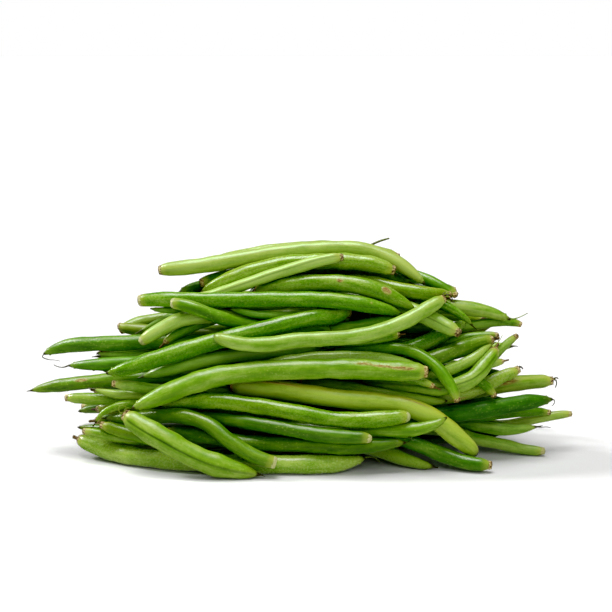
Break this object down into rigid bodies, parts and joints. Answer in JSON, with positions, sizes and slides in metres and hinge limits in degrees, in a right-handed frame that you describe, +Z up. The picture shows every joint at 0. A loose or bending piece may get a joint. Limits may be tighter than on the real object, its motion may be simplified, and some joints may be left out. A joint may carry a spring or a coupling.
{
  "type": "green bean bundle",
  "caption": "Loose heap of fresh green beans lying mostly left to right, with pale stalk cuts, dark dry stalk ends and thin tapering tails",
  "frame": {"origin": "on the surface that the heap lies on, under the middle of its bounding box", "axes": "+Z up, +X to the right along the beans as seen from the front, and the front of the heap faces -Y"},
  "size_m": [0.2711, 0.1297, 0.1049],
  "materials": {
    "green_skin": "fresh satin pod skin, mid green",
    "light_skin": "fresh satin pod skin, light green",
    "dark_skin": "fresh satin pod skin, dark green",
    "yellow_skin": "fresh satin pod skin, yellow green"
  },
  "bodies": {
    "root": {"back_floor": "green_skin", "back_long": "light_skin", "back_low": "green_skin", "back_slope": "yellow_skin", "back_top": "green_skin", "centre_long": "light_skin", "centre_upper": "green_skin", "crossing_long": "light_skin", "crown": "green_skin", "crown_back": "green_skin", "crown_behind": "light_skin", "crown_inside": "dark_skin", "crown_slender": "light_skin", "crown_thick": "light_skin", "cut_diagonal": "dark_skin", "cut_low": "dark_skin", "floor_front": "green_skin", "floor_right": "dark_skin", "floor_small_tip": "dark_skin", "front_lower": "green_skin", "hand_back_left_high": "green_skin", "hand_back_left_low": "green_skin", "hand_back_right_high": "green_skin", "hand_back_right_low": "green_skin", "hand_inner_left_high": "dark_skin", "hand_inner_left_low": "dark_skin", "hand_inner_right_high": "dark_skin", "hand_inner_right_low": "dark_skin", "hand_left_high": "green_skin", "hand_left_low": "green_skin", "hand_right_high": "green_skin", "hand_right_low": "green_skin", "left_blunt": "light_skin", "left_cut_low": "green_skin", "left_long": "green_skin", "left_pink_cut": "green_skin", "left_tip_high": "green_skin", "left_tip_mid": "green_skin", "left_tip_scarred": "green_skin", "low_right_tip": "light_skin", "low_yellow": "yellow_skin", "lower_right_dark": "dark_skin", "pale_thick": "yellow_skin", "right_broad": "dark_skin", "right_brown_end": "green_skin", "right_dark_end": "green_skin", "right_dark_tip": "dark_skin", "right_far_end": "green_skin", "right_floor_back": "green_skin", "right_hook": "light_skin", "right_pale_seam": "light_skin", "right_rough_tip": "green_skin", "right_scarred": "green_skin", "right_tail_high": "green_skin", "seam_diagonal": "light_skin", "spotted": "green_skin", "upper_cut_end": "light_skin", "upper_left_cut": "green_skin", "upper_long": "green_skin", "upper_right": "green_skin"}
  },
  "joints": []
}
